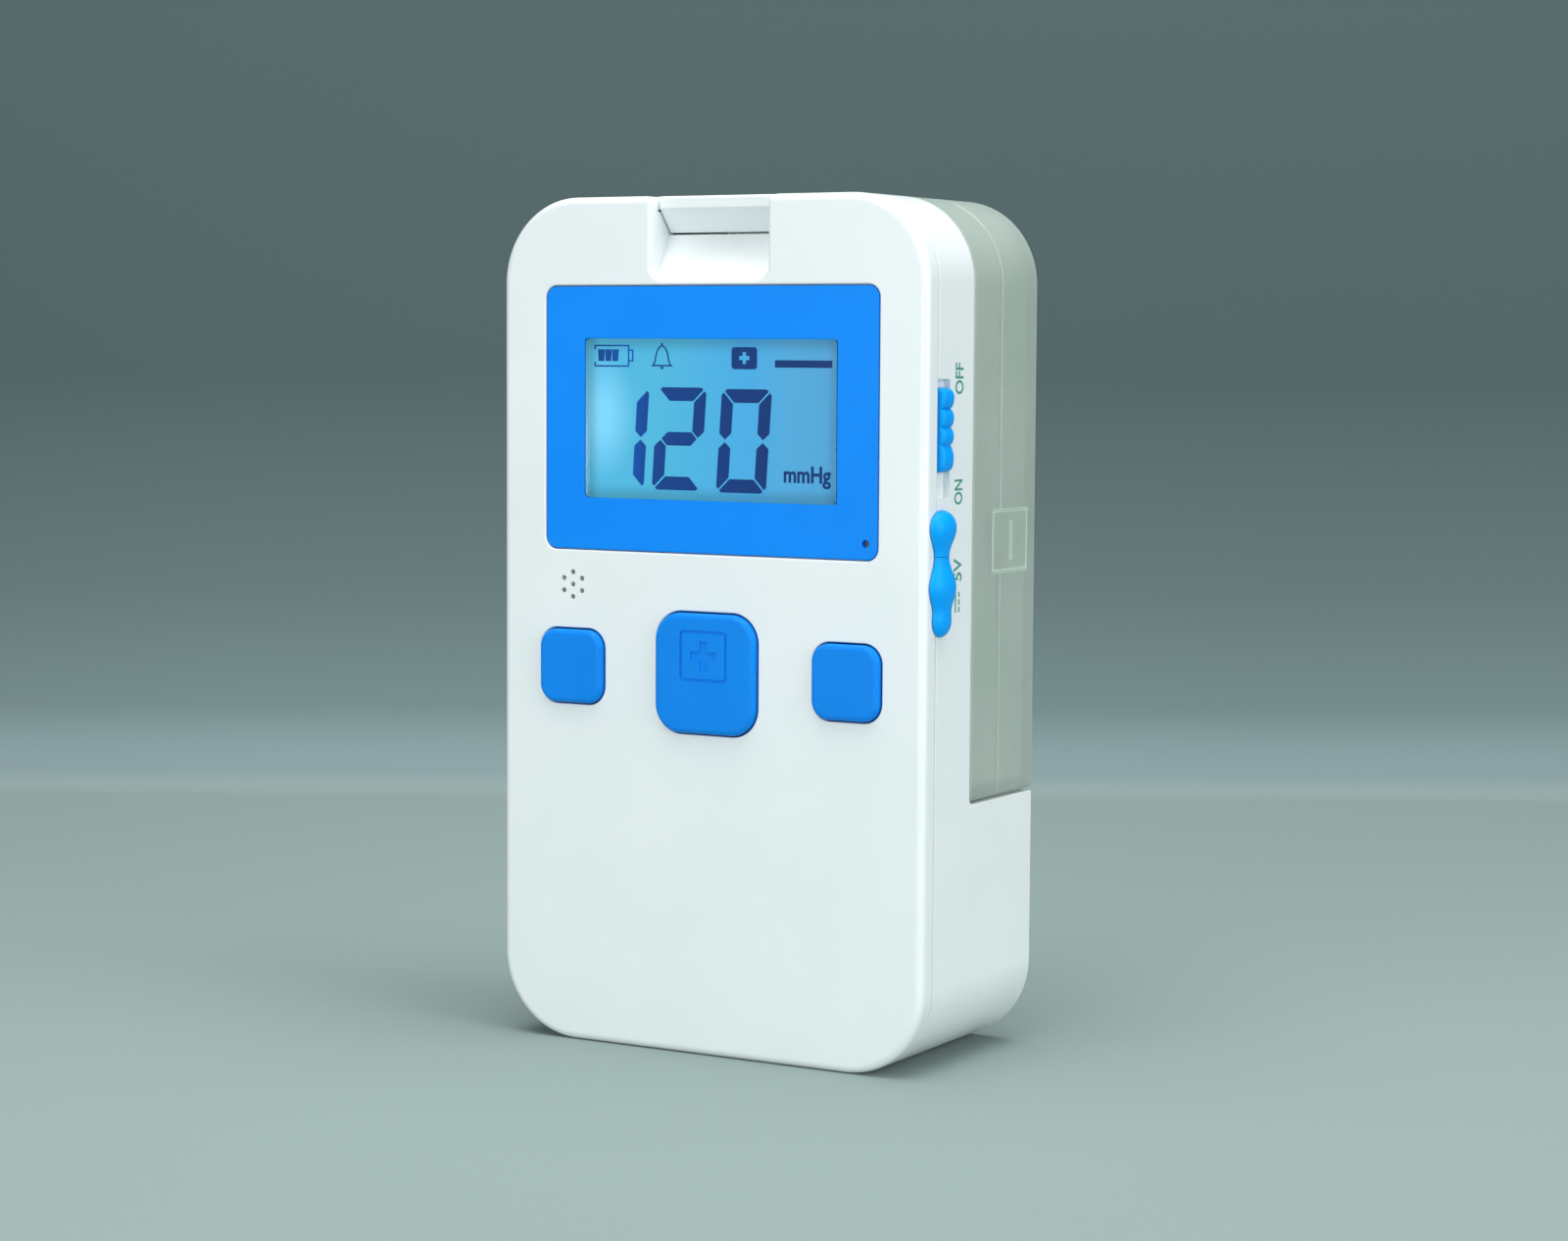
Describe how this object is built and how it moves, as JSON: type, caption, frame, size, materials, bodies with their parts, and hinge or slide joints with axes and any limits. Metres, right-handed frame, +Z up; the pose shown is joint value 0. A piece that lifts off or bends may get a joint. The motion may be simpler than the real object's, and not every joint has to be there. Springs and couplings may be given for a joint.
{
  "type": "negative pressure wound therapy pump",
  "caption": "Hand-held vacuum pump for wound dressings, with a display, three buttons, a slide switch, a covered charging port and a clear canister clipped behind its upper half.",
  "frame": {"origin": "middle of the flat base that the pump stands on, halfway from the front face to the canister's back", "axes": "+Z up towards the latch, -Y out of the display, +X towards the slide switch and charging port"},
  "size_m": [0.0851, 0.0376, 0.13],
  "materials": {
    "white_abs": "gloss moulded",
    "blue_abs": "gloss moulded",
    "blue_silicone": "satin moulded",
    "clear_polycarbonate": "clear, lightly frosted inside",
    "clear_acrylic": "polished clear",
    "lcd_glass": "polished, backlit",
    "light_guide": "diffusing",
    "board_laminate": "solder mask",
    "black_nylon": "moulded",
    "steel": "plain",
    "copper_winding": "enamelled",
    "brass": "turned",
    "natural_nylon": "moulded",
    "black_rubber": "matte",
    "milky_silicone": "satin",
    "white_foam": "sintered",
    "cell_wrap": "shrink wrap",
    "red_insulation": "moulded"
  },
  "bodies": {
    "case": {"front_cover": "white_abs", "rear_housing": "white_abs", "display_bezel": "blue_abs", "display_lens": "clear_acrylic", "lcd_panel": "lcd_glass", "lcd_backlight": "light_guide", "main_board": "board_laminate", "buzzer": "black_nylon", "indicator_led": "red_insulation", "vac_switch": "steel", "pump_switch": "steel", "mode_switch": "steel", "slide_switch": "steel", "dc_jack": "black_nylon", "port_cover_anchor": "blue_silicone", "battery_cell": "cell_wrap", "battery_lead": "red_insulation", "motor_lead": "black_rubber", "motor_can": "steel", "motor_end_cap": "black_nylon", "motor_sleeve": "black_rubber", "crankcase": "black_nylon", "pump_diaphragm": "black_rubber", "valve_plate": "natural_nylon", "valve_sheet": "black_rubber", "pump_head_cover": "black_nylon", "pump_screw_upper": "steel", "pump_screw_lower": "steel", "suction_tube": "milky_silicone", "exhaust_tube": "milky_silicone", "exhaust_silencer": "white_foam", "vacuum_manifold": "natural_nylon", "port_seal": "black_rubber", "pressure_sensor": "black_nylon", "case_screw_top_left": "steel", "case_screw_top_right": "steel", "case_screw_base_left": "steel", "case_screw_base_right": "steel", "latch_pin": "steel"},
    "vac_key": {"vac_button": "blue_abs", "vac_plunger": "black_nylon"},
    "pump_key": {"pump_button": "blue_abs", "pump_plunger": "black_nylon"},
    "mode_key": {"mode_button": "blue_abs", "mode_plunger": "black_nylon"},
    "power_slider": {"power_knob": "blue_abs", "switch_lever": "black_nylon"},
    "port_flap": {"port_cover_flap": "blue_silicone"},
    "latch": {"release_latch": "white_abs"},
    "canister": {"canister_front_shell": "clear_polycarbonate", "canister_rear_shell": "clear_polycarbonate", "canister_clip_left": "clear_polycarbonate", "canister_clip_right": "clear_polycarbonate", "canister_filter": "white_foam", "tube_connector": "white_abs"},
    "rotor": {"motor_armature": "copper_winding", "motor_shaft": "steel", "eccentric_hub": "brass"},
    "pump_rod": {"connecting_rod": "natural_nylon"}
  },
  "joints": [
    {"name": "vac_press", "type": "slide", "parent": "case", "child": "vac_key", "axis": [0, 1, 0], "range_m": [0, 0.0005], "stiffness_N_per_m": 1500},
    {"name": "pump_press", "type": "slide", "parent": "case", "child": "pump_key", "axis": [0, 1, 0], "range_m": [0, 0.0005], "stiffness_N_per_m": 1500},
    {"name": "mode_press", "type": "slide", "parent": "case", "child": "mode_key", "axis": [0, 1, 0], "range_m": [0, 0.0005], "stiffness_N_per_m": 1500},
    {"name": "power_slide", "type": "slide", "parent": "case", "child": "power_slider", "axis": [0, 0, -1], "range_m": [0, 0.0037]},
    {"name": "port_cover_swing", "type": "hinge", "parent": "case", "child": "port_flap", "pos_m": [0.03815, -0.0138, 0.0771], "axis": [0, -1, 0], "range_deg": [0, 100]},
    {"name": "latch_lift", "type": "hinge", "parent": "case", "child": "latch", "pos_m": [0, -0.0071, 0.127], "axis": [-1, 0, 0], "range_deg": [0, 8], "stiffness_Nm_per_rad": 0.05},
    {"name": "canister_release", "type": "slide", "parent": "case", "child": "canister", "axis": [0, 1, 0], "range_m": [0, 0.04]},
    {"name": "rotor_spin", "type": "hinge", "parent": "case", "child": "rotor", "pos_m": [-0.0151, 0.0058, 0.0293], "axis": [1, 0, 0], "continuous": true},
    {"name": "crank_pivot", "type": "hinge", "parent": "rotor", "child": "pump_rod", "pos_m": [-0.0151, 0.0058, 0.0299], "axis": [1, 0, 0], "continuous": true}
  ],
  "couplings": [
    {"joint": "crank_pivot", "follows": "rotor_spin", "ratio": -1}
  ]
}
